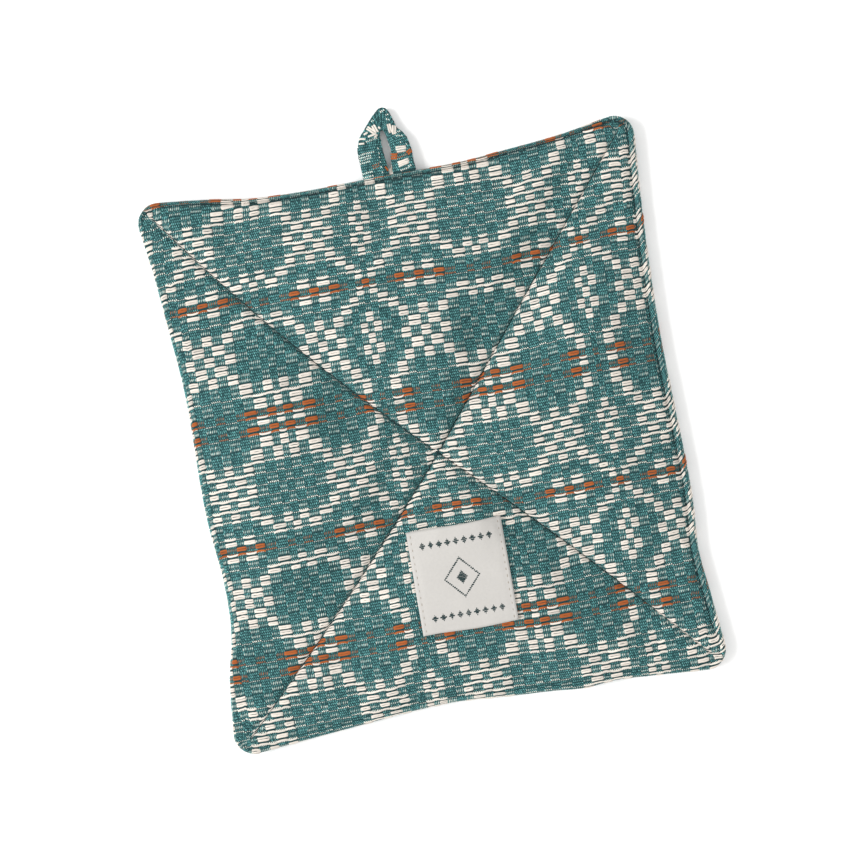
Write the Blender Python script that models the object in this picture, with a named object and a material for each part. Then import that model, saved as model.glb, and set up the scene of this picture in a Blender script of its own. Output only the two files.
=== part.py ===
"""A quilted pot holder of hand-woven cotton, lying on its back.

Three sewn pieces, each an object of its own: the filled pad, the flat loop that
it hangs by, and the woven label on its face. Metres, +Z up out of the face, and
+Y towards the loop. Shapes are drawn from the middle of the pad, and the whole
is then moved so that the origin is under the middle of it.
"""

import math

import bmesh
import bpy
import numpy as np

# The four corners of the pad's bounding lines, before they are rounded.
CORNERS = {
    "bottom_left": (-0.1012, -0.1137),
    "bottom_right": (0.1013, -0.1132),
    "top_right": (0.1024, 0.1145),
    "top_left": (-0.1020, 0.1129),
}
CORNER_RADIUS = 0.0085

# How far each side is drawn in: (place along the side, drawn in by).
DRAWN_IN = {
    "bottom": (
        (-0.093, 0.0), (-0.077, 0.0015), (-0.052, 0.0035), (-0.028, 0.0054),
        (-0.012, 0.0060), (0.012, 0.0042), (0.031, 0.0030), (0.043, 0.0018),
        (0.052, 0.0027), (0.072, 0.0017), (0.093, 0.0),
    ),
    "right": (
        (-0.105, 0.0), (-0.083, 0.0022), (-0.063, 0.0040), (-0.050, 0.0030),
        (0.000, 0.0034), (0.020, 0.0039), (0.042, 0.0036), (0.082, 0.0018),
        (0.106, 0.0),
    ),
    "top": (
        (-0.093, 0.0), (-0.073, 0.0026), (-0.056, 0.0056), (-0.040, 0.0065),
        (0.000, 0.0066), (0.036, 0.0067), (0.048, 0.0056), (0.072, 0.0036),
        (0.094, 0.0),
    ),
    "left": (
        (-0.105, 0.0), (-0.079, 0.0033), (-0.067, 0.0063), (-0.043, 0.0076),
        (-0.022, 0.0058), (0.042, 0.0058), (0.060, 0.0044), (0.082, 0.0027),
        (0.104, 0.0),
    ),
}

# The quilting: a stitched cross from corner to corner, and how far each arm
# of it bows to its left, seen from the crossing.
CROSSING = (0.0010, -0.0070)
ARM_BOW = {"bottom_left": 0.0017, "bottom_right": 0.0014, "top_right": 0.0003, "top_left": 0.0034}

# Heights over the surface that the pad lies on.
EDGE_MIDDLE = 0.0032
EDGE_HALF_THICKNESS = 0.0024
EDGE_ROLL = 0.0021
TOPSTITCH_INSET = 0.0038
TOPSTITCH_HEIGHT = 0.0041
TOPSTITCH_WIDTH = 0.0010
SEAM_HEIGHT = 0.0043
CROWN = 0.0088
REACH_FROM_QUILTING = 0.0125
REACH_FROM_EDGE = 0.0105
UNEVENNESS = 0.06
UNEVEN_LENGTH = 0.047
UNDERSIDE_GROOVE = 0.0012
UNDERSIDE_GROOVE_WIDTH = 0.0070

# The rings of the pad: distance in from the edge, then share of the way out
# from the crossing.
TOP_EDGE_RINGS = (0.0005, 0.0014, 0.0026, 0.0034, 0.0042, 0.0052, 0.0070)
TOP_INNER_RINGS = (0.95, 0.90, 0.83, 0.75, 0.66, 0.56, 0.46, 0.36, 0.27, 0.18, 0.10, 0.04)
UNDER_EDGE_RINGS = (0.0007, 0.0019, 0.0038, 0.0065)
UNDER_INNER_RINGS = (0.86, 0.64, 0.42, 0.20, 0.05)
ARC_STEPS = 2
SIDE_STEPS = 17
CROWDING = 0.75

# The label, by its corners, and the air under it.
LABEL_CORNERS = ((-0.0181, -0.0783), (0.0205, -0.0786), (0.0209, -0.0364), (-0.0177, -0.0365))
LABEL_THICKNESS = 0.0010
LABEL_STEPS = 8

# The loop: one row for each place along the folded tape, its outer and its
# inner edge, from the foot of the left leg round to the foot of the right one.
LOOP_ROWS = (
    # outer x, outer y, inner x, inner y
    (-0.0090, 0.1074, 0.0000, 0.1074),
    (-0.0091, 0.1120, 0.0000, 0.1120),
    (-0.0093, 0.1170, 0.0000, 0.1170),
    (-0.0090, 0.1205, 0.0000, 0.1205),
    (-0.0072, 0.1240, 0.0000, 0.1232),
    (-0.0049, 0.1272, 0.0004, 0.1244),
    (-0.0024, 0.1300, 0.0010, 0.1250),
    (0.0003, 0.1326, 0.0017, 0.1252),
    (0.0029, 0.1339, 0.0022, 0.1253),
    (0.0050, 0.1335, 0.0027, 0.1252),
    (0.0066, 0.1313, 0.0034, 0.1249),
    (0.0080, 0.1275, 0.0041, 0.1240),
    (0.0099, 0.1238, 0.0045, 0.1225),
    (0.0115, 0.1208, 0.0045, 0.1200),
    (0.0124, 0.1175, 0.0045, 0.1170),
    (0.0125, 0.1120, 0.0045, 0.1120),
    (0.0127, 0.1075, 0.0045, 0.1075),
)
LOOP_THICKNESS = 0.0026
LOOP_FOOT_HEIGHT = 0.0032
LOOP_TIP_HEIGHT = 0.0017
LOOP_SECTION = (
    # share of the way from the outer to the inner edge, share of half the thickness
    (0.00, 0.0), (0.10, 0.75), (0.50, 1.0), (0.90, 0.75),
    (1.00, 0.0), (0.90, -0.75), (0.50, -1.0), (0.10, -0.75),
)

GAP = 0.00035


def through(rows, at):
    """A smooth curve through a short table of (place, value) rows, read at given places."""
    place, value = np.array(rows).T
    slope = np.gradient(value, place)
    row = np.clip(np.searchsorted(place, at) - 1, 0, len(place) - 2)
    width = place[row + 1] - place[row]
    t = (at - place[row]) / width
    return (
        (1 + 2 * t) * (1 - t) ** 2 * value[row]
        + t * (1 - t) ** 2 * width * slope[row]
        + t**2 * (3 - 2 * t) * value[row + 1]
        - t**2 * (1 - t) * width * slope[row + 1]
    )


def crowded(steps):
    """Even steps from 0 up to 1, drawn closer together towards both ends."""
    even = np.arange(steps) / steps
    return (1 - CROWDING) * even + CROWDING * (1 - np.cos(math.pi * even)) / 2


def side_points(side, start, end):
    """Points from one rounded corner to the next, half an arc at each end."""
    start, end = np.array(start), np.array(end)
    along = (end - start) / np.linalg.norm(end - start)
    inward = np.array((-along[1], along[0]))
    first = start + CORNER_RADIUS * (along + inward)
    last = end + CORNER_RADIUS * (inward - along)
    turned = [math.pi / 4 * k / ARC_STEPS for k in range(ARC_STEPS)]
    out_of_corner = [
        first - CORNER_RADIUS * (math.sin(math.pi / 4 + a) * inward + math.cos(math.pi / 4 + a) * along)
        for a in turned
    ]
    into_corner = [
        last - CORNER_RADIUS * (math.cos(a) * inward - math.sin(a) * along) for a in turned
    ]
    axis = 0 if side in ("bottom", "top") else 1
    straight = []
    for share in crowded(SIDE_STEPS):
        point = first + (last - first) * share - CORNER_RADIUS * inward
        straight.append(point + float(through(DRAWN_IN[side], point[axis])) * inward)
    return out_of_corner + straight + into_corner


def outline():
    """The pad's edge, anticlockwise from the middle of the bottom left corner."""
    names = list(CORNERS)
    points = []
    for k, side in enumerate(DRAWN_IN):
        points += side_points(side, CORNERS[names[k]], CORNERS[names[(k + 1) % 4]])
    return np.array(points)


EDGE = outline()
SIDE = len(EDGE) // 4
FORWARD = np.roll(EDGE, -1, axis=0) - np.roll(EDGE, 1, axis=0)
FORWARD /= np.linalg.norm(FORWARD, axis=1)[:, None]
INWARD = np.stack([-FORWARD[:, 1], FORWARD[:, 0]], axis=1)


def edge_ring(inset):
    """The edge moved straight in."""
    return EDGE + INWARD * inset


def inner_ring(share):
    """A ring between the crossing and the last edge ring, bowed with the quilting."""
    rim = edge_ring(TOP_EDGE_RINGS[-1])
    out = rim - CROSSING
    ring = CROSSING + share * out
    for k, bow in enumerate(ARM_BOW.values()):
        arm = out[k * SIDE] / np.linalg.norm(out[k * SIDE])
        left = np.array((-arm[1], arm[0]))
        steps_off = np.abs((np.arange(len(EDGE)) - k * SIDE + 2 * SIDE) % (4 * SIDE) - 2 * SIDE)
        near = np.cos(np.clip(steps_off / SIDE, 0, 1) * math.pi / 2) ** 2
        ring += (bow * 4 * share * (1 - share) * near)[:, None] * left
    return ring


def distance(points, line):
    """How far points are from a line of points."""
    start, step = line[:-1], np.diff(line, axis=0)
    offset = points[:, None] - start
    t = np.clip((offset * step).sum(2) / (step**2).sum(1), 0, 1)
    return np.linalg.norm(offset - t[..., None] * step, axis=2).min(1)


ARMS = [
    np.array([inner_ring(share)[k * SIDE] for share in np.linspace(0, 1, 13)]) for k in range(4)
]


def from_quilting(points):
    """How far points are from each arm of the quilting, one row for each arm."""
    return np.array([distance(points, arm) for arm in ARMS])


def from_edge(points):
    return distance(points, np.vstack([EDGE, EDGE[:1]]))


def roll(inset):
    """Half the thickness of the rolled edge, at a distance in from the outline."""
    return EDGE_HALF_THICKNESS * np.sqrt(1 - (1 - np.clip(inset / EDGE_ROLL, 0, 1)) ** 2)


def top_height(points):
    """The face: a rolled edge, the topstitching's groove, and four crowned puffs."""
    inset = from_edge(points)
    within = np.clip(inset - TOPSTITCH_INSET, 0, None)
    uneven = np.sin(points[:, 0] / UNEVEN_LENGTH * math.pi + 0.6)
    uneven = 1 + UNEVENNESS * uneven * np.cos(points[:, 1] / UNEVEN_LENGTH * math.pi - 0.4)
    from_cross = np.prod(1 - np.exp(-from_quilting(points) / REACH_FROM_QUILTING), axis=0)
    from_side = 1 - np.exp(-within / REACH_FROM_EDGE)
    puff = SEAM_HEIGHT + CROWN * uneven * from_cross * from_side
    sewn_down = np.exp(-(((inset - TOPSTITCH_INSET) / TOPSTITCH_WIDTH) ** 2))
    band = EDGE_MIDDLE + roll(inset)
    height = np.where(inset < TOPSTITCH_INSET, band, np.maximum(puff, TOPSTITCH_HEIGHT))
    return height + (TOPSTITCH_HEIGHT - height) * sewn_down


def under_height(points):
    """The back: flat on the surface, but for its edge and shallow sewn grooves."""
    inset = from_edge(points)
    edge = EDGE_MIDDLE - roll(inset)
    settled = np.clip((inset - EDGE_ROLL) / (UNDER_EDGE_RINGS[-1] - EDGE_ROLL), 0, 1)
    inside = np.clip((inset - UNDER_EDGE_RINGS[-1]) / REACH_FROM_EDGE, 0, 1)
    groove = np.clip(1 - from_quilting(points).min(0) / UNDERSIDE_GROOVE_WIDTH, 0, 1) ** 2
    return edge * (1 - settled) + UNDERSIDE_GROOVE * groove * inside


def ring_edges(mesh, ring, heights):
    verts = [mesh.verts.new((x, y, z)) for (x, y), z in zip(ring, heights)]
    return [mesh.edges.new((verts[k - 1], verts[k])) for k in range(len(verts))]


def lofted(rings):
    """A closed solid through rings of points, its two ends closed to a middle point."""
    mesh = bmesh.new()
    loops = [ring_edges(mesh, ring, heights) for ring, heights in rings]
    for low, high in zip(loops, loops[1:]):
        bmesh.ops.bridge_loops(mesh, edges=low + high)
    for end in (loops[0], loops[-1]):
        cap = bmesh.ops.contextual_create(mesh, geom=end)["faces"]
        bmesh.ops.poke(mesh, faces=cap)
    bmesh.ops.triangulate(mesh, faces=mesh.faces)
    bmesh.ops.recalc_face_normals(mesh, faces=mesh.faces)
    return mesh


def cloth(name, colour, roughness):
    material = bpy.data.materials.new(name)
    material.use_nodes = True
    shader = material.node_tree.nodes["Principled BSDF"]
    shader.inputs["Base Color"].default_value = (*colour, 1)
    shader.inputs["Roughness"].default_value = roughness
    shader.inputs["Metallic"].default_value = 0.0
    return material


def finished(name, mesh, material, parent):
    data = bpy.data.meshes.new(name)
    mesh.to_mesh(data)
    mesh.free()
    data.materials.append(material)
    data.shade_smooth()
    piece = bpy.data.objects.new(name, data)
    piece.parent = parent
    bpy.context.collection.objects.link(piece)
    return piece


def quilted_pad():
    """Front and back cloth sewn, turned and stuffed, as one filled solid."""
    rings = []
    for share in reversed(UNDER_INNER_RINGS):
        rings.append((inner_ring(share), under_height(inner_ring(share))))
    for inset in reversed(UNDER_EDGE_RINGS):
        rings.append((edge_ring(inset), under_height(edge_ring(inset))))
    rings.append((EDGE, np.full(len(EDGE), EDGE_MIDDLE)))
    for inset in TOP_EDGE_RINGS:
        rings.append((edge_ring(inset), top_height(edge_ring(inset))))
    for share in TOP_INNER_RINGS:
        rings.append((inner_ring(share), top_height(inner_ring(share))))
    return lofted(rings)


def woven_label():
    """A thin sheet on the lower puff, as curved as the face that it is sewn to."""
    mesh = bmesh.new()
    bmesh.ops.create_grid(mesh, x_segments=LABEL_STEPS, y_segments=LABEL_STEPS, size=1)
    low_left, low_right, high_right, high_left = (np.array(c) for c in LABEL_CORNERS)
    for vert in mesh.verts:
        across, up = (vert.co.x + 1) / 2, (vert.co.y + 1) / 2
        low = low_left + (low_right - low_left) * across
        high = high_left + (high_right - high_left) * across
        place = low + (high - low) * up
        vert.co = (*place, float(top_height(place[None])[0]) + GAP)
    raised = bmesh.ops.extrude_face_region(mesh, geom=mesh.faces[:])["geom"]
    top = [item for item in raised if isinstance(item, bmesh.types.BMVert)]
    bmesh.ops.translate(mesh, verts=top, vec=(0, 0, LABEL_THICKNESS))
    bmesh.ops.triangulate(mesh, faces=mesh.faces)
    bmesh.ops.recalc_face_normals(mesh, faces=mesh.faces)
    return mesh


def hanging_loop():
    """A folded tape, turned back on itself in its own plane, its two feet in the top seam."""
    mesh = bmesh.new()
    foot = min(row[1] for row in LOOP_ROWS)
    tip = max(row[1] for row in LOOP_ROWS)
    loops = []
    for outer_x, outer_y, inner_x, inner_y in LOOP_ROWS:
        outer, inner = np.array((outer_x, outer_y)), np.array((inner_x, inner_y))
        ring = [outer + (inner - outer) * across for across, _ in LOOP_SECTION]
        heights = []
        for (x, y), (_, up) in zip(ring, LOOP_SECTION):
            risen = (y - foot) / (tip - foot)
            middle = LOOP_FOOT_HEIGHT + (LOOP_TIP_HEIGHT - LOOP_FOOT_HEIGHT) * risen
            heights.append(middle + up * LOOP_THICKNESS / 2)
        loops.append(ring_edges(mesh, ring, heights))
    for low, high in zip(loops, loops[1:]):
        bmesh.ops.bridge_loops(mesh, edges=low + high)
    for end in (loops[0], loops[-1]):
        bmesh.ops.contextual_create(mesh, geom=end)
    bmesh.ops.triangulate(mesh, faces=mesh.faces)
    bmesh.ops.recalc_face_normals(mesh, faces=mesh.faces)
    return mesh


for leftover in list(bpy.data.objects):
    bpy.data.objects.remove(leftover, do_unlink=True)

LOOP_TIP = max(row[1] for row in LOOP_ROWS)
middle_x = (EDGE[:, 0].min() + EDGE[:, 0].max()) / 2
middle_y = (EDGE[:, 1].min() + LOOP_TIP) / 2
holder = bpy.data.objects.new("pot_holder", None)
holder.location = (-middle_x, -middle_y, 0)
bpy.context.collection.objects.link(holder)

teal_cloth = cloth("teal_overshot_cloth", (0.075, 0.215, 0.205), 0.9)
loop_cloth = cloth("teal_loop_cloth", (0.060, 0.180, 0.175), 0.9)
label_cloth = cloth("cream_label_cloth", (0.76, 0.71, 0.63), 0.75)

finished("quilted_pad", quilted_pad(), teal_cloth, holder)
finished("hanging_loop", hanging_loop(), loop_cloth, holder)
finished("woven_label", woven_label(), label_cloth, holder)
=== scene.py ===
import math

import bmesh
import bpy
import numpy as np
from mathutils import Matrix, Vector
from mathutils.bvhtree import BVHTree


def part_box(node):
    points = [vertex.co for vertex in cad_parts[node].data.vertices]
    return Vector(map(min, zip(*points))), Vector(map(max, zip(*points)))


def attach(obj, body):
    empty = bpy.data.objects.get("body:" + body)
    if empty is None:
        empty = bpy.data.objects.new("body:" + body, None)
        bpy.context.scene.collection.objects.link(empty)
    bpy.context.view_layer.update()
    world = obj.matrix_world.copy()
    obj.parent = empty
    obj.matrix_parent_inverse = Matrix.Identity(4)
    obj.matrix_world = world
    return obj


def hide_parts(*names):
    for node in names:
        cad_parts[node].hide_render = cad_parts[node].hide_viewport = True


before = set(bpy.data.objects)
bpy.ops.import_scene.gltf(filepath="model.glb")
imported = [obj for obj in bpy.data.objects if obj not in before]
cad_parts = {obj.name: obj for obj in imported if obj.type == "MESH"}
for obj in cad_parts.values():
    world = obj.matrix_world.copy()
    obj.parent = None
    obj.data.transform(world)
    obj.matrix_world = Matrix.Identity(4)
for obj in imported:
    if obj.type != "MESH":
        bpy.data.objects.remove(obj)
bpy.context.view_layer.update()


# ==================================================================== the filled pad
# A front and a back of one hand-woven cotton, sewn face to face, turned out over a flat
# filling and topstitched all round. A stitched cross draws the face in to four puffs.
# Places are measured from the middle of the pad, x to the right and y to the loop.

CORNERS = {
    "bottom_left": (-0.1012, -0.1137),
    "bottom_right": (0.1013, -0.1132),
    "top_right": (0.1024, 0.1145),
    "top_left": (-0.1020, 0.1129),
}
CORNER_RADIUS = 0.0085
DRAWN_IN = {
    # along the side, drawn in by
    "bottom": (
        (-0.093, 0.0), (-0.077, 0.0015), (-0.052, 0.0035), (-0.028, 0.0054),
        (-0.012, 0.0060), (0.012, 0.0042), (0.031, 0.0030), (0.043, 0.0018),
        (0.052, 0.0027), (0.072, 0.0017), (0.093, 0.0),
    ),
    "right": (
        (-0.105, 0.0), (-0.083, 0.0022), (-0.063, 0.0040), (-0.050, 0.0030),
        (0.000, 0.0034), (0.020, 0.0039), (0.042, 0.0036), (0.082, 0.0018),
        (0.106, 0.0),
    ),
    "top": (
        (-0.093, 0.0), (-0.073, 0.0026), (-0.056, 0.0056), (-0.040, 0.0065),
        (0.000, 0.0066), (0.036, 0.0067), (0.048, 0.0056), (0.072, 0.0036),
        (0.094, 0.0),
    ),
    "left": (
        (-0.105, 0.0), (-0.079, 0.0033), (-0.067, 0.0063), (-0.043, 0.0076),
        (-0.022, 0.0058), (0.042, 0.0058), (0.060, 0.0044), (0.082, 0.0027),
        (0.104, 0.0),
    ),
}
CROSSING = (0.0010, -0.0070)
ARM_BOW = {"bottom_left": 0.0017, "bottom_right": 0.0014, "top_right": 0.0003, "top_left": 0.0034}

EDGE_MIDDLE = 0.0032
EDGE_HALF_THICKNESS = 0.0024
EDGE_ROLL = 0.0017
TOPSTITCH_INSET = 0.0027
GROOVE_NEARER = {"bottom": 0.80, "right": 1.15, "top": 0.66, "left": 0.95}
GROOVE_HEIGHT = {"bottom": 0.0051, "right": 0.0040, "top": 0.0041, "left": 0.0057}
TOPSTITCH_WIDTH = 0.0008
SEAM_HEIGHT = 0.0043
CROWN_BEFORE_FILLING = 0.0074
REACH_FROM_QUILTING = 0.0065
STEEPNESS = 0.58
REACH_FROM_EDGE = 0.0105
SIDE_STEEPNESS = 0.80
UNEVENNESS = 0.06
UNEVEN_LENGTH = 0.047
UNEVEN_STARTS = (0.6, -0.4)
UNDERSIDE_GROOVE = 0.0012
UNDERSIDE_GROOVE_WIDTH = 0.0070

EVENING_PASSES = 80
ARC_STEPS = 5
SIDE_STEPS = 50
ARM_STEPS = 17
CROWDING = 0.45
UNDER_SHARES = np.append(0.006, np.linspace(0.06, 0.93, 12))
UNDER_INSETS = (0.0066, 0.0050, 0.0036, 0.0024, 0.0016, 0.0010, 0.0004)
SEAM_INSET = 0.0010
TOP_INSETS = (
    0.0003, 0.0007, 0.0012, 0.0016, 0.0020, 0.0024, TOPSTITCH_INSET, 0.0030, 0.0036, 0.0046, 0.0062,
)
TOP_SHARES = np.append(np.linspace(0.972, 0.03, 32), 0.004)


def through(rows, at):
    """A smooth curve through a short table of (place, value) rows, read at given places."""
    place, value = np.array(rows).T
    slope = np.gradient(value, place)
    row = np.clip(np.searchsorted(place, at) - 1, 0, len(place) - 2)
    width = place[row + 1] - place[row]
    t = (at - place[row]) / width
    return (
        (1 + 2 * t) * (1 - t) ** 2 * value[row]
        + t * (1 - t) ** 2 * width * slope[row]
        + t**2 * (3 - 2 * t) * value[row + 1]
        - t**2 * (1 - t) * width * slope[row + 1]
    )


def side_points(side, start, end, radius, drawn_in):
    """Points from one rounded corner to the next, half an arc at each end."""
    start, end = np.array(start), np.array(end)
    along = (end - start) / np.linalg.norm(end - start)
    inward = np.array((-along[1], along[0]))
    first = start + radius * (along + inward)
    last = end + radius * (inward - along)
    turned = math.pi / 4 * np.arange(ARC_STEPS)[:, None] / ARC_STEPS
    rounding = np.sin(math.pi / 4 + turned) * inward + np.cos(math.pi / 4 + turned) * along
    out_of_corner = first - radius * rounding
    into_corner = last - radius * (np.cos(turned) * inward - np.sin(turned) * along)
    even = np.arange(SIDE_STEPS) / SIDE_STEPS
    share = (1 - CROWDING) * even + CROWDING * (1 - np.cos(math.pi * even)) / 2
    straight = first + (last - first) * share[:, None] - radius * inward
    if drawn_in:
        axis = 0 if side in ("bottom", "top") else 1
        straight = straight + through(DRAWN_IN[side], straight[:, axis])[:, None] * inward
    return np.vstack([out_of_corner, straight, into_corner])


def rounded(corners, radius, drawn_in):
    """A ring of points, anticlockwise from the middle of the bottom left corner."""
    names = list(CORNERS)
    return np.vstack([
        side_points(side, corners[names[k]], corners[names[(k + 1) % 4]], radius, drawn_in)
        for k, side in enumerate(DRAWN_IN)
    ])


EDGE = rounded(CORNERS, CORNER_RADIUS, True)
SIDE = len(EDGE) // 4
FORWARD = np.roll(EDGE, -1, axis=0) - np.roll(EDGE, 1, axis=0)
FORWARD /= np.linalg.norm(FORWARD, axis=1)[:, None]
INWARD = np.stack([-FORWARD[:, 1], FORWARD[:, 0]], axis=1)


def evened(sides):
    """A value for each point of the outline, from one for each side, with no step at a corner."""
    values = np.repeat(list(sides.values()), SIDE)
    for _ in range(EVENING_PASSES):
        values = (np.roll(values, 1) + values + np.roll(values, -1)) / 3
    return values


# The topstitching runs nearer to some sides than to others, and is pulled down deeper at some.
NEARER, SEWN_TO = evened(GROOVE_NEARER), evened(GROOVE_HEIGHT)


def edge_ring(inset):
    """A ring inside the outline, nearer to it where the topstitching is."""
    return EDGE + INWARD * (inset * NEARER)[:, None]


def inner_ring(share):
    """A ring between the crossing and the last edge ring, bowed with the quilting."""
    out = edge_ring(TOP_INSETS[-1]) - CROSSING
    ring = CROSSING + share * out
    for k, bow in enumerate(ARM_BOW.values()):
        arm = out[k * SIDE] / np.linalg.norm(out[k * SIDE])
        left = np.array((-arm[1], arm[0]))
        steps_off = np.abs((np.arange(len(EDGE)) - k * SIDE + 2 * SIDE) % (4 * SIDE) - 2 * SIDE)
        near = np.cos(np.clip(steps_off / SIDE, 0, 1) * math.pi / 2) ** 2
        ring += (bow * 4 * share * (1 - share) * near)[:, None] * left
    return ring


def nearest(points, line):
    """The nearest points of a line, and how far off they are."""
    start, step = line[:-1], np.diff(line, axis=0)
    offset = points[:, None] - start
    t = np.clip((offset * step).sum(2) / (step**2).sum(1), 0, 1)
    off = offset - t[..., None] * step
    best = np.linalg.norm(off, axis=2).argmin(1)
    off = off[np.arange(len(points)), best]
    return points - off, np.linalg.norm(off, axis=1)


ARM_RINGS = [inner_ring(share) for share in np.linspace(0, 1, ARM_STEPS)]
ARMS = [np.array([ring[k * SIDE] for ring in ARM_RINGS]) for k in range(4)]


def beside(points):
    """Which point of the outline is nearest."""
    return np.linalg.norm(points[:, None] - EDGE, axis=2).argmin(1)


def from_edge(points):
    """How far in from the outline, as if the topstitching ran evenly all round."""
    return nearest(points, np.vstack([EDGE, EDGE[:1]]))[1] / NEARER[beside(points)]


def roll(inset):
    """Half the thickness of the rolled edge, at a distance in from the outline."""
    return EDGE_HALF_THICKNESS * np.sqrt(1 - (1 - np.clip(inset / EDGE_ROLL, 0, 1)) ** 2)


def top_height(points, crown):
    """The face: a rolled edge, the topstitching's groove, and four crowned puffs."""
    inset = from_edge(points)
    within = np.clip(inset - TOPSTITCH_INSET, 0, None)
    wave = points / UNEVEN_LENGTH * math.pi + UNEVEN_STARTS
    uneven = 1 + UNEVENNESS * np.sin(wave[:, 0]) * np.cos(wave[:, 1])
    off = np.maximum([nearest(points, arm)[1] for arm in ARMS], 1e-6)
    from_cross = 1 - np.exp(-(((off**-3).sum(0) ** (-1 / 3) / REACH_FROM_QUILTING) ** STEEPNESS))
    from_side = 1 - np.exp(-((within / REACH_FROM_EDGE) ** SIDE_STEEPNESS))
    puff = SEAM_HEIGHT + crown * uneven * from_cross * from_side
    sewn_down = np.exp(-(((inset - TOPSTITCH_INSET) / TOPSTITCH_WIDTH) ** 2))
    band = EDGE_MIDDLE + roll(inset)
    sewn_to = SEWN_TO[beside(points)]
    height = np.where(inset < TOPSTITCH_INSET, band, np.maximum(puff, sewn_to))
    return height + (sewn_to - height) * sewn_down


def under_height(points):
    """The back: flat on the surface, but for its edge and shallow sewn grooves."""
    inset = from_edge(points)
    edge = EDGE_MIDDLE - roll(inset)
    settled = np.clip((inset - EDGE_ROLL) / (UNDER_INSETS[0] - EDGE_ROLL), 0, 1)
    inside = np.clip((inset - UNDER_INSETS[0]) / REACH_FROM_EDGE, 0, 1)
    off = np.min([nearest(points, arm)[1] for arm in ARMS], axis=0)
    groove = np.clip(1 - off / UNDERSIDE_GROOVE_WIDTH, 0, 1) ** 2
    return edge * (1 - settled) + UNDERSIDE_GROOVE * groove * inside


# The cloth lay straight before it was sewn. The quilting drew it in towards each arm, and
# turning and filling moved it by some millimetres (x, y) at these places across and up.
PULLED_TO_ARM = ((0.0017, 0.0022), (0.0021, 0.0010), (0.0020, 0.0021), (0.0029, 0.0014))
PULL_REACH = 0.0012
PULL_NARROWS = 0.050
PULL_FADE = 0.020
CROSSING_SPARED = 0.008
PLACES_ACROSS = (-0.090, -0.060, -0.030, 0.0, 0.030, 0.060, 0.090)
PLACES_UP = (-0.105, -0.070, -0.035, 0.0, 0.035, 0.070, 0.105)
CLOTH_MOVED = (
    ((-1.9, 2.3), (-2.6, 3.5), (-2.3, 4.0), (-2.3, 3.9), (-1.7, 3.2), (-1.1, 2.7), (-0.1, 1.9)),
    ((-2.4, 1.4), (-2.2, 2.1), (-2.1, 3.1), (-1.8, 4.2), (-2.3, 2.7), (-2.1, 2.7), (-1.8, 2.0)),
    ((-1.5, -0.2), (-0.8, 0.4), (-0.7, 1.4), (-1.3, 2.2), (-2.2, 0.9), (-2.4, 1.1), (-2.6, 0.4)),
    ((-0.5, -0.2), (0.4, -0.4), (0.1, -0.2), (-1.5, -0.3), (-2.6, -1.0), (-2.7, 0.0), (-2.5, 0.3)),
    ((-0.9, -0.1), (0.3, -0.7), (-0.6, -0.9), (-1.3, -1.3), (-1.7, -2.1), (-2.7, 0.0), (-2.6, 0.8)),
    ((-0.4, -0.5), (0.0, -0.9), (0.8, -1.7), (0.6, -2.0), (0.6, -3.2), (0.3, -1.6), (-0.6, 0.2)),
    ((1.2, 0.3), (1.9, -1.0), (2.6, -1.6), (2.7, -1.8), (2.7, -2.8), (3.2, -2.3), (3.7, -0.6)),
)

# The roll takes in the cloth between the topstitching and the seam, which was sewn straight,
# and it is twisted along the two upright sides.
SEAM_HALF = np.array((0.1070, 0.1205))
SEAM_CORNER_RADIUS = 0.0130
TWIST_OF_LEFT, TWIST_OF_RIGHT = 0.10, 0.75
BACK_LIES_AT = (0.8880, 0.0210)


def shares_of(places, at):
    """How much of the value at each place a smooth curve through them takes."""
    at = np.clip(at, places[0], places[-1])
    return np.stack([through(np.stack([places, one], 1), at) for one in np.eye(len(places))], 1)


def laid_flat(points):
    """Where points of the face lay in the cloth before it was quilted."""
    across, up = shares_of(PLACES_ACROSS, points[:, 0]), shares_of(PLACES_UP, points[:, 1])
    moved = np.einsum("pi,pj,jik->pk", across, up, CLOTH_MOVED) / 1000
    for arm, (to_left, to_right) in zip(ARMS, PULLED_TO_ARM):
        foot, off = nearest(points, arm)
        ahead, out = arm[-1] - arm[0], points - foot
        along = np.linalg.norm(foot - CROSSING, axis=1)
        pull = np.where(ahead[0] * out[:, 1] > ahead[1] * out[:, 0], to_left, to_right)
        pull = pull * (1 - np.exp(-along / CROSSING_SPARED)) * np.exp(-off / PULL_FADE)
        reach = PULL_REACH / (1 + (along / PULL_NARROWS) ** 2)
        share = pull * (1 - np.exp(-off / reach)) / np.maximum(off, 1e-6)
        moved = moved - out * share[:, None]
    return points - moved


def rolled_flat(sewn, share):
    """The cloth of the roll, at a share of the way from the topstitching to the seam."""
    turns = ((-1, -1), (1, -1), (1, 1), (-1, 1))
    seam = rounded({n: SEAM_HALF * t for n, t in zip(CORNERS, turns)}, SEAM_CORNER_RADIUS, False)
    upright = np.repeat([False, True, False, True], SIDE)
    in_line = np.abs(seam - sewn).min(1) < SEAM_CORNER_RADIUS / 2
    seam[upright & in_line, 1] = sewn[upright & in_line, 1]
    seam[~upright & in_line, 0] = sewn[~upright & in_line, 0]
    flat = sewn + (seam - sewn) * share[:, None]
    twist = np.where(sewn[:, 0] > 0, TWIST_OF_RIGHT, -TWIST_OF_LEFT)
    flat[:, 1] -= np.where(upright, np.abs(seam[:, 0] - sewn[:, 0]), 0) * share * twist
    return flat


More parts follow.
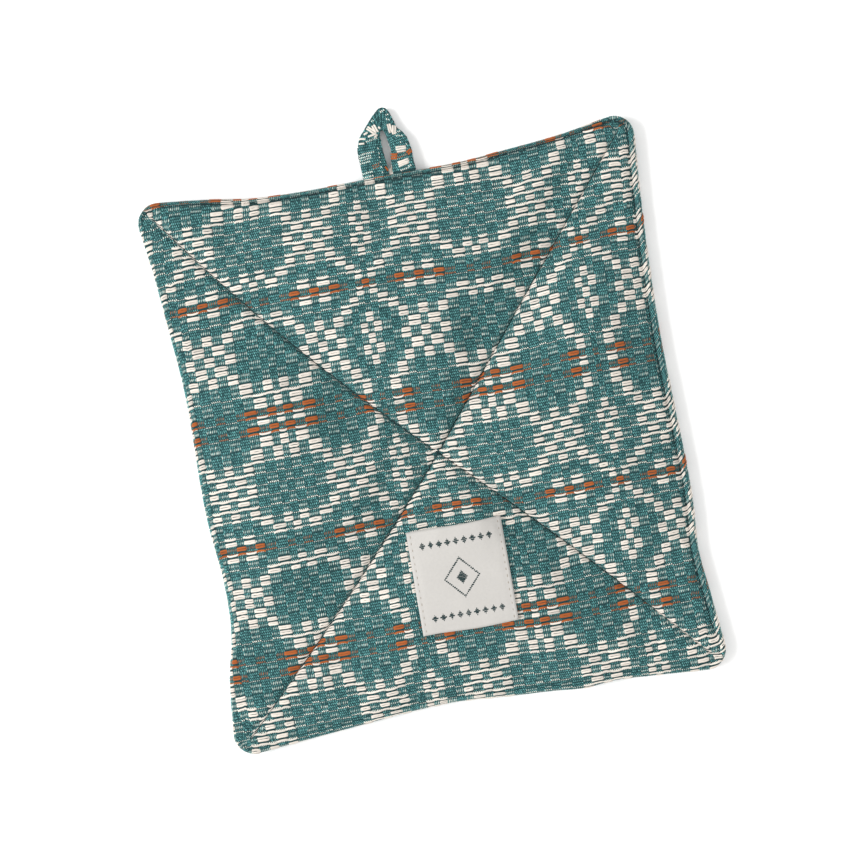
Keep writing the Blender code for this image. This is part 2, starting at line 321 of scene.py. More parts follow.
def pad_rings(crown):
    """Rings of (place, height) from the middle of the back, round the edge, to that of the face."""
    rings = [(inner_ring(share), under_height(inner_ring(share))) for share in UNDER_SHARES]
    for inset in UNDER_INSETS:
        rings.append((edge_ring(inset), under_height(edge_ring(inset))))
    rings.append((EDGE, np.full(len(EDGE), EDGE_MIDDLE)))
    for inset in TOP_INSETS:
        rings.append((edge_ring(inset), top_height(edge_ring(inset), crown)))
    for share in TOP_SHARES:
        rings.append((inner_ring(share), top_height(inner_ring(share), crown)))
    return [np.column_stack(ring) for ring in rings]


RINGS = pad_rings(CROWN_BEFORE_FILLING)
SEAM_RING = len(UNDER_SHARES) + UNDER_INSETS.index(SEAM_INSET)
GROOVE_RING = len(UNDER_SHARES) + len(UNDER_INSETS) + 1 + TOP_INSETS.index(TOPSTITCH_INSET)
LAST_INSET_RING = GROOVE_RING + len(TOP_INSETS) - 1 - TOP_INSETS.index(TOPSTITCH_INSET)
pad_corner = Vector(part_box("quilted_pad")[0])
IN_FRAME = np.array((pad_corner.x - EDGE[:, 0].min(), pad_corner.y - EDGE[:, 1].min(), 0))


def rolled_grid(rings):
    """A closed solid through rings of points: a grid rolled round, its two ends closed to a point."""
    mesh = bmesh.new()
    around = len(rings[0])
    bmesh.ops.create_grid(mesh, x_segments=around, y_segments=len(rings) - 1, size=1)
    mesh.verts.ensure_lookup_table()
    weld, in_order = {}, []
    for k, ring in enumerate(rings):
        row = mesh.verts[k * (around + 1) : (k + 1) * (around + 1)]
        in_order += row[:-1]
        for vert, point in zip(row, ring):
            vert.co = point
        row[-1].co = ring[0]
        weld[row[-1]] = row[0]
    bmesh.ops.weld_verts(mesh, targetmap=weld)
    ends = [edge for edge in mesh.edges if edge.is_boundary]
    first = set(in_order[:around])
    for at_first in (True, False):
        end = [edge for edge in ends if (edge.verts[0] in first) == at_first]
        cap = bmesh.ops.contextual_create(mesh, geom=end)["faces"]
        in_order += bmesh.ops.poke(mesh, faces=cap)["verts"]
    for number, vert in enumerate(in_order):
        vert.index = number
    mesh.verts.sort()
    bmesh.ops.recalc_face_normals(mesh, faces=mesh.faces)
    return mesh


def flat_places():
    """Where each point of the pad lay in the cloth: as part of the back, and of the face."""
    sewn = laid_flat(RINGS[GROOVE_RING][:, :2])
    rolled = RINGS[SEAM_RING : GROOVE_RING + 1]
    steps = [np.linalg.norm(b - a, axis=1) for a, b in zip(rolled, rolled[1:])]
    to_groove = np.vstack([np.cumsum(steps[::-1], axis=0)[::-1], np.zeros(len(EDGE))])
    face = [ring[:, :2] for ring in RINGS[:SEAM_RING]]
    face += [rolled_flat(sewn, along / to_groove[0]) for along in to_groove[:-1]]
    face += [laid_flat(ring[:, :2]) for ring in RINGS[GROOVE_RING:]]
    back = [ring[:, :2] * (-1, 1) + BACK_LIES_AT for ring in RINGS]
    middles = [ring[:, :2].mean(0)[None] for ring in (RINGS[0], RINGS[-1])]
    face = np.vstack(face + [middles[0], laid_flat(middles[1])])
    back = np.vstack(back + [middle * (-1, 1) + BACK_LIES_AT for middle in middles])
    return back, face


def piece_of(name, mesh, *materials):
    """An object at the origin, its place in its mesh."""
    if isinstance(mesh, bmesh.types.BMesh):
        data = bpy.data.meshes.new(name)
        mesh.to_mesh(data)
        mesh.free()
    else:
        data = mesh
    for material in materials:
        data.materials.append(material)
    data.shade_smooth()
    piece = bpy.data.objects.new(name, data)
    bpy.context.collection.objects.link(piece)
    return piece


def each(rows, field, width=1, kind=np.float32):
    """One value for each item of a mesh's rows, as an array."""
    values = np.empty(len(rows) * width, kind)
    rows.foreach_get(field, values)
    return values.reshape(-1, width) if width > 1 else values


def corners_of(data):
    """Which point each corner of a mesh's faces is at."""
    return each(data.loops, "vertex_index", kind=np.int32)


def of_face(data, values):
    """For each corner of a mesh's faces, the highest value at any corner of its face."""
    starts = each(data.polygons, "loop_start", kind=np.int32)
    sizes = each(data.polygons, "loop_total", kind=np.int32)
    return np.repeat(np.maximum.reduceat(values, starts), sizes)


def lay_out(data, layer, flat):
    """A UV map in metres, from a flat place for each corner of a mesh's faces."""
    data.uv_layers.new(name=layer).uv.foreach_set("vector", flat.astype(np.float32).ravel())


def lay_pad_flat(data):
    """The pad's cloth as it lay flat, the back and the face apart from each other."""
    back, face = flat_places()
    corner = corners_of(data)
    ring = np.append(np.repeat(np.arange(len(RINGS)), len(EDGE)), [0, len(RINGS)])
    on_back = of_face(data, ring[corner]) <= SEAM_RING
    lay_out(data, "cloth", np.where(on_back[:, None], back[corner], face[corner]))


ARM_SHARPNESS = 1.0
GROOVE_SHARPNESS = 0.7


def crease(data):
    """Sharp folds where the quilting and the topstitching hold the cloth down."""
    ends = each(data.edges, "vertices", 2, np.int32)
    known = (ends < len(RINGS) * len(EDGE)).all(1)
    ring, place = ends // len(EDGE), ends % len(EDGE)
    arm = known & (place % SIDE == 0).all(1) & (ring.min(1) >= GROOVE_RING)
    groove = known & (ring == GROOVE_RING).all(1)
    sharp = np.where(arm, ARM_SHARPNESS, np.where(groove, GROOVE_SHARPNESS, 0.0))
    data.attributes.new("crease_edge", "FLOAT", "EDGE").data.foreach_set("value", sharp)


HELD_SHARE = 0.10
FILLING_PRESSURE = 3.0
CLOTH_EASE = -0.015
FILLING_STEPS = 20
MOST_SWOLLEN = 0.0035
HELD_BY_SEWING = 0.0070


def fill(pad):
    """Cloth simulation of the face, held where it is sewn and swollen by the filling."""
    rest = each(pad.data.vertices, "co", 3)
    held = pad.vertex_groups.new(name="sewn")
    arm_points = [r * len(EDGE) + k * SIDE for r in range(GROOVE_RING, len(RINGS)) for k in range(4)]
    crossing_rings = int(np.argmax(TOP_SHARES < HELD_SHARE)) + LAST_INSET_RING + 1
    crossing = range(crossing_rings * len(EDGE), len(pad.data.vertices))
    held.add([*range((GROOVE_RING + 1) * len(EDGE)), *arm_points, *crossing], 1.0, "REPLACE")
    cloth = pad.modifiers.new("filling", "CLOTH")
    settings = cloth.settings
    settings.vertex_group_mass = held.name
    settings.quality = 6
    settings.mass = 0.2
    settings.tension_stiffness = settings.compression_stiffness = 12
    settings.shear_stiffness = 4
    settings.bending_stiffness = 0.4
    settings.use_pressure = True
    settings.uniform_pressure_force = FILLING_PRESSURE
    settings.shrink_min = CLOTH_EASE
    settings.effector_weights.gravity = 0
    cloth.collision_settings.use_collision = False
    scene = bpy.context.scene
    for step in range(1, FILLING_STEPS + 1):
        scene.frame_set(step)
    filled = pad.evaluated_get(bpy.context.evaluated_depsgraph_get())
    moved = each(filled.data.vertices, "co", 3) - rest
    size = np.maximum(np.linalg.norm(moved, axis=1), 1e-9)
    places = rest[:, :2] - IN_FRAME[:2]
    from_arms = np.min([nearest(places, arm)[1] for arm in ARMS], axis=0)
    from_groove = np.clip(from_edge(places) - TOPSTITCH_INSET, 0, None)
    free = 1 - np.exp(-((np.minimum(from_arms, from_groove) / HELD_BY_SEWING) ** 2))
    moved *= (free * MOST_SWOLLEN * np.tanh(size / MOST_SWOLLEN) / size)[:, None]
    pad.modifiers.remove(cloth)
    scene.frame_set(1)
    pad.data.vertices.foreach_set("co", (rest + moved).ravel())
    pad.vertex_groups.clear()


def smoothed_once(piece):
    """One subdivision, applied. The flat places stay straight between the old points."""
    finer = piece.modifiers.new("finer", "SUBSURF")
    finer.levels = finer.render_levels = 1
    finer.uv_smooth = "NONE"
    old = piece.data
    made = piece.evaluated_get(bpy.context.evaluated_depsgraph_get())
    piece.data = bpy.data.meshes.new_from_object(made)
    piece.modifiers.clear()
    bpy.data.meshes.remove(old)
    piece.data.name = piece.name
    piece.data.shade_smooth()


class Shading:
    """A material. Each call adds a node or a few, and gives what comes out of the last."""

    def __init__(self, name, uv_map=None):
        self.material = bpy.data.materials.new(name)
        self.material.use_nodes = True
        self.tree = self.material.node_tree
        self.shader = self.tree.nodes["Principled BSDF"]
        self.set_inputs(self.shader, {"Metallic": 0.0})
        if uv_map:
            self.flat = self.node("UVMap", uv_map=uv_map)
            self.x = self.node("SeparateXYZ", {0: self.flat})
            self.y = self.x.node.outputs[1]

    def set_inputs(self, node, inputs):
        """Inputs by name or number, each a value or what comes out of another node."""
        for key, value in inputs.items():
            if isinstance(value, bpy.types.NodeSocket):
                self.tree.links.new(value, node.inputs[key])
            else:
                node.inputs[key].default_value = value

    def node(self, kind, inputs=None, out=0, **settings):
        """One node of a kind, and the output of it that is asked for."""
        node = self.tree.nodes.new("ShaderNode" + kind)
        for key, value in settings.items():
            setattr(node, key, value)
        self.set_inputs(node, inputs or {})
        return node.outputs[out]

    def sums(self, operation, *values):
        return self.node("Math", dict(enumerate(values)), operation=operation)

    def total(self, first, *others):
        for other in others:
            first = self.sums("ADD", first, other)
        return first

    def times(self, value, factor):
        return self.sums("MULTIPLY", value, factor)

    def ripple(self, value, length):
        """Ribs a length apart: 0 in their grooves and 1 on their crests."""
        return self.sums("ABSOLUTE", self.sums("SINE", self.times(value, math.pi / length)))

    def noise(self, place, scale, detail):
        return self.node("TexNoise", {"Vector": place, "Scale": scale, "Detail": detail})

    def around(self, noise, strength):
        """Noise as so much more or less than nothing."""
        return self.times(self.sums("SUBTRACT", noise, 0.5), strength)

    def finish(self, share, dark, pale, relief, bump, **surface):
        """The colour, so far from dark to pale, and the relief, with its strength and depth."""
        colour = self.node("Mix", {0: share, 6: (*dark, 1), 7: (*pale, 1)}, out=2, data_type="RGBA")
        normal = self.node("Bump", {"Strength": bump[0], "Distance": bump[1], "Height": relief})
        surface = {key.replace("_", " "): value for key, value in surface.items()}
        self.set_inputs(self.shader, {"Base Color": colour, "Normal": normal, **surface})
        return self.material


# Weaving measures, all in the cloth as it lay flat.
PAIR = 0.0984 / 45
WARP = 0.00037
FIRST_PAIR = 0.06786
# The ground between the warp ends is painted shade: near-black teal, paler only on the crests of its ribs.
GROUND_PAINTED_SHADE = (0.006, 0.028, 0.031)
GROUND_LIT = (0.040, 0.122, 0.126)


def ground_cloth(name):
    """The deep of the weave, between the ends that stand up from it: painted shade in dark teal, ribbed and
    uneven, darkest in the grooves of the ribs.
    """
    cloth = Shading(name, "cloth")
    weave = cloth.times(cloth.ripple(cloth.x, WARP), cloth.ripple(cloth.y, PAIR / 2))
    dye = cloth.noise(cloth.flat, 1500.0, 3.0)
    # Painted shade: the colour darkens in the grooves between the ribs and between the rows.
    light = cloth.total(cloth.times(weave, 0.5), cloth.around(dye, 1.2))
    return cloth.finish(
        light, GROUND_PAINTED_SHADE, GROUND_LIT, cloth.total(weave, dye), (0.7, 0.00012),
        Roughness=0.95, Specular_IOR_Level=0.2, Sheen_Weight=0.05,
    )


cover_mesh = rolled_grid([ring + IN_FRAME for ring in RINGS])
cover = piece_of("pad_cover", cover_mesh, ground_cloth("teal_ground_weave_painted_shade"))
lay_pad_flat(cover.data)
crease(cover.data)
fill(cover)
smoothed_once(cover)
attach(cover, "root")
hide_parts("quilted_pad")


# ==================================================================== the woven pattern
# The pattern is in the weft: soft cream yarns in pairs, and a few rust ones, float over the
# warp where their block is woven. Beside the block they go over and under every other end,
# which shows as short upright ticks, and between blocks they are hidden behind the teal.

THREADING = (
    # block, width in millimetres, one repeat from the left of a table
    ("B", 4.7), ("A", 4.7), ("B", 3.4), ("A", 3.0), ("B", 3.5), ("A", 4.6), ("B", 4.7),
    ("C", 3.5), ("D", 4.6), ("C", 3.5), ("D", 4.5), ("C", 3.7), ("B", 3.9), ("A", 3.3),
    ("D", 2.6), ("C", 2.7), ("D", 3.0), ("A", 4.0), ("B", 3.9),
    ("C", 3.5), ("D", 4.6), ("C", 3.5), ("D", 4.5), ("C", 3.7),
)
REPEAT = 0.0888
TABLE_MIDDLE = -0.0593
TABLE_BLOCKS = 7
TREADLING = (
    # block, weft yarns, colour, one repeat downwards
    ("C", 3, "rust"), ("D", 3, "cream"), ("A", 3, "cream"), ("B", 3, "cream"),
    ("C", 4, "cream"), ("D", 4, "cream"), ("C", 4, "cream"), ("D", 4, "cream"), ("C", 4, "cream"),
    ("B", 5, "cream"), ("A", 5, "cream"), ("B", 3, "rust"), ("A", 3, "cream"), ("B", 3, "rust"),
    ("A", 5, "cream"), ("B", 5, "cream"),
    ("C", 4, "cream"), ("D", 4, "cream"), ("C", 4, "cream"), ("D", 4, "cream"), ("C", 4, "cream"),
    ("B", 3, "cream"), ("A", 3, "cream"), ("D", 3, "cream"),
)
COLOURS = ("cream", "rust")
ON_THE_CLOTH = 0.00001
NEAR_THE_CLOTH = 0.0002
LEAST_FACING = 0.1
STRETCHED = (0.7, 1.3)
YARN_WIDTH = 0.00088
YARN_HEIGHT = 0.00040
PAIR_APART = 0.00044
LONE_APART = 0.00024
PAIR_ENDS_DRAWN = 0.00008
LONE_ENDS_DRAWN = 0.00030
END_OVERLAP = 0.00025
CREAM = (0.655, 0.602, 0.540)
RUST = (0.340, 0.086, 0.016)
SHOWING = {
    # length, width, height, lean in degrees, how far from the middle of the pair, tone
    "half tone": (0.00145, 0.00038, 0.00018, -4, 0.0, 0.48),
    "upper lone half tone": (0.00100, 0.00042, 0.00022, 22, 0.00032, 0.98),
    "lower lone half tone": (0.00060, 0.00046, 0.00018, 8, -0.00026, 0.60),
    "warp": (0.00116, 0.00046, 0.00022, 10, 0.000547, 0.50),
    "warp between": (0.00160, 0.00026, 0.00012, -3, 0.0, 0.40),
    "warp over the gap": (0.00086, 0.00046, 0.00018, 6, 0.0010935, 0.42),
}

blocks = [block for block, _ in THREADING]
widths = np.array([width for _, width in THREADING])
widths *= REPEAT / widths.sum()
BLOCK_ENDS = np.cumsum(np.append(0, widths)) + TABLE_MIDDLE - widths[:TABLE_BLOCKS].sum() / 2
WEFT = [(block, colour) for block, count, colour in TREADLING for _ in range(count)]


def showing(kind, ends, y, side, colour):
    """Bumps of one kind at some warp ends: (x, y, length, width, height, lean, tone, colour)."""
    length, width, height, lean, aside, tone = SHOWING[kind]
    rest = (y + side * aside, length, width, height, math.radians(lean), tone, colour)
    return [(x, *rest) for x in ends]


def woven(low, high):
    """A stretch of flat cloth: floats as (x, y, length, colour, drawn aside), and the bumps of
    the half tones and of the warp."""
    floats, half_tones, warp = [], [], []
    first = math.ceil((FIRST_PAIR - high[1]) / PAIR)
    last = math.floor((FIRST_PAIR - low[1]) / PAIR)
    turn_of = [(x - BLOCK_ENDS[0]) / REPEAT for x in (low[0], high[0])]
    turns = range(math.floor(turn_of[0]), math.ceil(turn_of[1]))
    for pair in range(first, last + 1):
        y = FIRST_PAIR - PAIR * pair
        upper, lower = (WEFT[yarn % len(WEFT)] for yarn in (2 * pair, 2 * pair + 1))
        lone = upper[0] != lower[0]
        aside, drawn = (LONE_APART, LONE_ENDS_DRAWN) if lone else (PAIR_APART, PAIR_ENDS_DRAWN)
        for turn, k in ((turn, k) for turn in turns for k in range(len(blocks))):
            start, end = BLOCK_ENDS[k] + turn * REPEAT, BLOCK_ENDS[k + 1] + turn * REPEAT
            ends = np.arange(math.ceil(start / (2 * WARP)), end / (2 * WARP)) * 2 * WARP
            for (thrown, colour), side in ((upper, 1), (lower, -1)):
                apart = (ord(blocks[k]) - ord(thrown)) % 4
                colour = COLOURS.index(colour)
                if apart == 0:
                    length = end - start + 2 * END_OVERLAP
                    floats.append(((start + end) / 2, y + side * aside, length, colour, side * drawn))
                elif apart == 2:
                    shift = WARP if side > 0 else 0
                    warp += showing("warp", ends + shift, y, side, 0)
                elif lone:
                    kind = "upper lone half tone" if side > 0 else "lower lone half tone"
                    half_tones += showing(kind, ends, y, 1, colour)
                    if side > 0:
                        warp += showing("warp over the gap", ends + WARP, y, 1, 0)
                elif side > 0:
                    half_tones += showing("half tone", ends, y, 1, colour)
                    warp += showing("warp between", ends + WARP, y, 1, 0)
                    warp += showing("warp over the gap", ends, y, 1, 0)
    return np.array(floats), np.array(half_tones), np.array(warp)


def searchable(piece, by="cloth"):
    """A sewn cloth as found from its flat places: a search tree, and its places and normals.
    By "plan" it is found from above instead, and by "under" from below, mirrored."""
    data = piece.data
    data.calc_loop_triangles()
    loops = each(data.loop_triangles, "loops", 3, np.int32)
    verts = each(data.loop_triangles, "vertices", 3, np.int32)
    places = each(data.vertices, "co", 3).astype(float)[verts]
    normals = each(data.vertices, "normal", 3).astype(float)[verts]
    if by in ("plan", "under"):
        way = 1 if by == "plan" else -1
        seen = each(data.loop_triangles, "normal", 3)[:, 2] * way > LEAST_FACING
        places, normals = places[seen], normals[seen]
        flat = places[..., :2] * (way, 1)
    else:
        flat = each(data.uv_layers[by].uv, "vector", 2).astype(float)[loops]
    corners = np.dstack([flat, np.zeros(flat.shape[:2])]).reshape(-1, 3)
    tree = BVHTree.FromPolygons(corners.tolist(), np.arange(len(corners)).reshape(-1, 3).tolist())
    return tree, flat, places, normals


def lay_of(cloth, flat_points):
    """Where the sewn cloth has points of the flat cloth: places, normals, and the directions
    that x and y of the flat cloth take there."""
    tree, flat, places, normals = cloth
    found = [tree.find_nearest((x, y, 0)) for x, y in flat_points.tolist()]
    corner = np.array([hit[2] for hit in found])
    here = np.array([hit[0][:2] for hit in found])
    a, b, c = flat[corner, 0], flat[corner, 1], flat[corner, 2]

    def cross(p, q):
        return p[:, 0] * q[:, 1] - p[:, 1] * q[:, 0]

    whole = cross(b - a, c - a)
    whole = np.where(np.abs(whole) < 1e-14, 1e-14, whole)[:, None]
    share = np.stack([cross(b - here, c - here), cross(c - here, a - here), cross(a - here, b - here)], 1)
    share = np.clip(share / whole, 0, 1)
    share /= share.sum(1, keepdims=True)
    place = (places[corner] * share[..., None]).sum(1)
    normal = (normals[corner] * share[..., None]).sum(1)
    normal /= np.linalg.norm(normal, axis=1, keepdims=True)
    to_b, to_c = places[corner, 1] - places[corner, 0], places[corner, 2] - places[corner, 0]
    right = (to_b * (c - a)[:, 1:] - to_c * (b - a)[:, 1:]) / whole
    up = (to_c * (b - a)[:, :1] - to_b * (c - a)[:, :1]) / whole
    for way in (right, up):
        stretch = np.maximum(np.linalg.norm(way, axis=1, keepdims=True), 1e-9)
        way *= np.clip(stretch, *STRETCHED) / stretch
    return place, normal, right, up


def on_cloth(cloth, flat_points, heights):
    """Carry points of the flat cloth, at heights over it, to where the sewn cloth has them."""
    place, normal, _, _ = lay_of(cloth, flat_points)
    return place + normal * heights[:, None]


def inside(cloth, flat_points, margin):
    """Which flat points are on the cloth, or within a margin of it."""
    return np.array([cloth[0].find_nearest((x, y, 0))[3] <= margin for x, y in flat_points.tolist()])


def small_shape(mesh):
    """A flat mesh that threads or bumps are bent from, as its places and its faces."""
    places = np.array([vert.co[:2] for vert in mesh.verts])
    faces = np.array([[vert.index for vert in face.verts] for face in mesh.faces])
    mesh.free()
    return places, faces


def copied(name, shape_faces, points, colour, tone, materials):
    """Many copies of one small shape, joined as one mesh. points is copies by points by three."""
    copies, per_copy, _ = points.shape
    faces = shape_faces[None] + np.arange(copies)[:, None, None] * per_copy
    data = bpy.data.meshes.new(name)
    data.vertices.add(copies * per_copy)
    data.loops.add(faces.size)
    data.polygons.add(copies * len(shape_faces))
    data.vertices.foreach_set("co", points.astype(np.float32).ravel())
    data.loops.foreach_set("vertex_index", faces.ravel().astype(np.int32))
    data.polygons.foreach_set("loop_start", np.arange(0, faces.size, faces.shape[2], dtype=np.int32))
    data.polygons.foreach_set("material_index", np.repeat(colour.astype(np.int32), len(shape_faces)))
    data.update(calc_edges=True)
    data.attributes.new("tone", "FLOAT", "POINT").data.foreach_set("value", np.repeat(tone, per_copy))
    return piece_of(name, data, *materials)


THREAD_HALF = (
    # from a thread's middle to its end: share of half its length, drawn back, height, width
    (0.0, 0.0, 1.0, 1.0), (0.5, 0.0, 0.99, 1.0), (1.0, 0.00024, 0.90, 1.0), (1.0, 0.0, 0.0, 0.80),
)
THREAD_SUNK = 0.00008
THREAD_LENGTH_SPREAD = 0.00012
THREAD_SHIFT_SPREAD = 0.00003
THREAD_BEND_SPREAD = 0.00004
THREAD_WIDTHS = (0.93, 1.06)
THREAD_HEIGHTS = (0.85, 1.12)


def laid_threads(name, cloth, rows, way, width, height, materials, seed):
    """Half-round threads on a cloth. rows are (x, y, length, colour, ends drawn aside), way
    their directions."""
    last = len(THREAD_HALF) - 1
    mesh = bmesh.new()
    bmesh.ops.create_grid(mesh, x_segments=2 * last, y_segments=4, size=1)
    grid, faces = small_shape(mesh)
    random = np.random.default_rng(seed)
    count = len(rows)
    column = np.round(grid[:, 0] * last).astype(int)
    share, back, full, slim = np.array(THREAD_HALF)[np.abs(column)].T
    share = share * np.sign(column)
    length = rows[:, 2] + random.normal(0, THREAD_LENGTH_SPREAD, count)
    along = share[None] * length[:, None] / 2 - back * np.sign(column)
    across = np.sin(grid[:, 1] * math.pi / 2) * slim * width / 2
    across = across * random.uniform(*THREAD_WIDTHS, (count, 1))
    across = across + random.normal(0, THREAD_SHIFT_SPREAD, (count, 1)) - rows[:, 4:] * np.abs(share) ** 3
    across = across + random.normal(0, THREAD_BEND_SPREAD, (count, 2 * last + 1))[:, column + last]
    up = np.cos(grid[:, 1] * math.pi / 2) * full * height
    up = up * random.uniform(*THREAD_HEIGHTS, (count, 1)) - THREAD_SUNK
    side = np.stack([-way[:, 1], way[:, 0]], 1)
    flat = rows[:, None, :2] + along[..., None] * way[:, None] + across[..., None] * side[:, None]
    points = on_cloth(cloth, flat.reshape(-1, 2), up.ravel()).reshape(count, -1, 3)
    piece = copied(name, faces, points, rows[:, 3], random.normal(0, 1, count), materials)
    marks = np.stack([along + random.uniform(0, 1, (count, 1)), np.broadcast_to(grid[:, 1], along.shape)], 2)
    lay_out(piece.data, "thread", marks.reshape(-1, 2)[corners_of(piece.data)])
    return piece


FULLER = {4: 1.15, 6: 1.08}
BUMP_FOOT = -0.00003
BUMP_SHIFT_SPREAD = 0.00003
BUMP_WIDTHS = (0.85, 1.12)
BUMP_LENGTHS = (0.85, 1.08)
BUMP_HEIGHTS = (0.75, 1.15)
LEAN_SPREAD = 0.10
TONE_SPREAD = 0.20


def laid_bumps(name, cloth, rows, materials, seed, corners=6):
    """Where single ends and picks show: small domes of four or six sides on a cloth."""
    mesh = bmesh.new()
    bmesh.ops.create_circle(mesh, cap_ends=True, cap_tris=True, segments=corners, radius=FULLER[corners])
    if next(iter(mesh.faces)).normal.z < 0:
        bmesh.ops.reverse_faces(mesh, faces=mesh.faces)
    shape, faces = small_shape(mesh)
    random = np.random.default_rng(seed)
    count = len(rows)
    length, width, height, lean, tone, colour = rows[:, 2:].T
    lean = (lean + random.normal(0, LEAN_SPREAD, count))[:, None]
    across = shape[:, 0] * (width * random.uniform(*BUMP_WIDTHS, count) / 2)[:, None]
    along = shape[:, 1] * (length * random.uniform(*BUMP_LENGTHS, count) / 2)[:, None]
    raised = np.linalg.norm(shape, axis=1) < 0.5
    up_by = np.where(raised, height[:, None] * random.uniform(*BUMP_HEIGHTS, (count, 1)), BUMP_FOOT)
    x = across * np.cos(lean) - along * np.sin(lean) + random.normal(0, BUMP_SHIFT_SPREAD, (count, 1))
    y = along * np.cos(lean) + across * np.sin(lean) + random.normal(0, BUMP_SHIFT_SPREAD, (count, 1))
    place, normal, right, up = (part[:, None] for part in lay_of(cloth, rows[:, :2]))
    points = place + right * x[..., None] + up * y[..., None] + normal * up_by[..., None]
    tone = tone + random.normal(0, 1, count) * TONE_SPREAD
    return copied(name, faces, points, colour, tone, materials)


PLY_TWIST = 0.0011
WARP_TONES = ((0.012, 0.062, 0.067), (0.150, 0.425, 0.420))
CREAM_TONES = ((0.110, 0.225, 0.220), (0.760, 0.770, 0.690))
RUST_TONES = ((0.090, 0.050, 0.032), (0.390, 0.135, 0.050))


def yarn(name, colour, spread):
    """Soft cotton yarn: two plies laid round each other, a little fluff, each length its own tone. Painted
    shade darkens the ply grooves and the yarn's edges.
    """
    thread = Shading(name, "thread")
    twist = thread.total(thread.times(thread.x, 2 * math.pi / PLY_TWIST), thread.times(thread.y, 1.3))
    ply = thread.ripple(twist, math.pi)
    fluff = thread.noise(thread.node("TexCoord", out="Object"), 5200.0, 2.0)
    tone = thread.node("Attribute", out="Fac", attribute_name="tone")
    light = thread.total(
        thread.times(tone, spread),
        thread.around(fluff, 0.5),
        # Painted shade: darker in the grooves between the plies, and much darker towards both edges of the
        # yarn.
        thread.times(thread.sums("POWER", ply, 0.5), 0.25),
        thread.times(thread.sums("POWER", thread.sums("ABSOLUTE", thread.y), 5.0), -0.9),
        0.45,
    )
    dark = [part * 0.60 for part in colour]
    pale = [min(part * 1.16, 0.92) for part in colour]
    return thread.finish(
        light, dark, pale, thread.total(ply, fluff), (0.5, 0.00008),
        Roughness=0.85, Specular_IOR_Level=0.3, Sheen_Weight=0.10,
    )


def spun(name, tones):
    """Single strands of cotton: each its own tone between two, with a little fluff."""
    strand = Shading(name)
    fluff = strand.noise(strand.node("TexCoord", out="Object"), 4200.0, 2.0)
    tone = strand.node("Attribute", out="Fac", attribute_name="tone")
    light = strand.total(tone, strand.around(fluff, 0.45))
    return strand.finish(
        light, *tones, fluff, (0.4, 0.00005), Roughness=0.88, Specular_IOR_Level=0.25, Sheen_Weight=0.08
    )


sewn_cloth = searchable(cover)
PATTERN_YARNS = (yarn("cream_pattern_yarn", CREAM, 0.12), yarn("rust_pattern_yarn", RUST, 0.12))
HALF_TONE_STRANDS = (spun("cream_half_tone", CREAM_TONES), spun("rust_half_tone", RUST_TONES))
WARP_STRANDS = (spun("teal_warp", WARP_TONES),)
for side, middle in (("face", (0, 0)), ("back", BACK_LIES_AT)):
    floats, half_tones, warp = woven(middle - SEAM_HALF - PAIR, middle + SEAM_HALF + PAIR)
    if side == "back":
        warp = warp[warp[:, 4] >= SHOWING["warp"][2]]
    floats = floats[inside(sewn_cloth, floats[:, :2], NEAR_THE_CLOTH)]
    half_tones = half_tones[inside(sewn_cloth, half_tones[:, :2], ON_THE_CLOTH)]
    warp = warp[inside(sewn_cloth, warp[:, :2], ON_THE_CLOTH)]
    ahead = np.tile((1.0, 0.0), (len(floats), 1))
    yarns = laid_threads(
        f"{side}_pattern_yarns", sewn_cloth, floats, ahead, YARN_WIDTH, YARN_HEIGHT, PATTERN_YARNS, 7
    )
    ticks = laid_bumps(f"{side}_half_tones", sewn_cloth, half_tones, HALF_TONE_STRANDS, 11, 4)
    ends = laid_bumps(f"{side}_warp", sewn_cloth, warp, WARP_STRANDS, 12, 4)
    for piece in (yarns, ticks, ends):
        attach(piece, "root")


# ==================================================================== the sewing
# Strong teal thread, sewn right through: one row of topstitching round the edge, and two
# rows that cross from corner to corner and hold the front, the filling and the back together.

# Each stitch: length, apart, width, height.
TOPSTITCH = (0.0021, 0.0028, 0.00052, 0.00034)
QUILTING_STITCH = (0.0026, 0.0029, 0.00042, 0.00046)
THREAD_TEAL = (0.010, 0.028, 0.032)
SUNK_FROM = 0.0048


def stitches_along(line, stitch):
    """Stitches on a line of places, rows of (x, y, length, colour), and their directions."""
    reached = np.append(0, np.cumsum(np.linalg.norm(np.diff(line, axis=0), axis=1)))
    count = int(reached[-1] / stitch[1])
    middles = (np.arange(count) + 0.5) * reached[-1] / count

    def at(way_along):
        return np.stack([np.interp(way_along, reached, line[:, k]) for k in (0, 1)], 1)

    way = at(middles + stitch[0] / 2) - at(middles - stitch[0] / 2)
    way /= np.linalg.norm(way, axis=1)[:, None]
    return np.column_stack([at(middles), np.full(count, stitch[0]), np.zeros((count, 2))]), way


def sewn(name, cloth, lines, stitch, thread, seed, hidden=None):
    """A row of stitches along each line, but for those where they are hidden."""
    rows, way = (np.vstack(part) for part in zip(*(stitches_along(line, stitch) for line in lines)))
    if hidden:
        shown = ~hidden(rows[:, :2])
        rows, way = rows[shown], way[shown]
    return laid_threads(name, cloth, rows, way, *stitch[2:], (thread,), seed)


def sunk(places):
    """Where the topstitching has sunk into the soft roll beside it."""
    return SEWN_TO[beside(places - IN_FRAME[:2])] >= SUNK_FROM


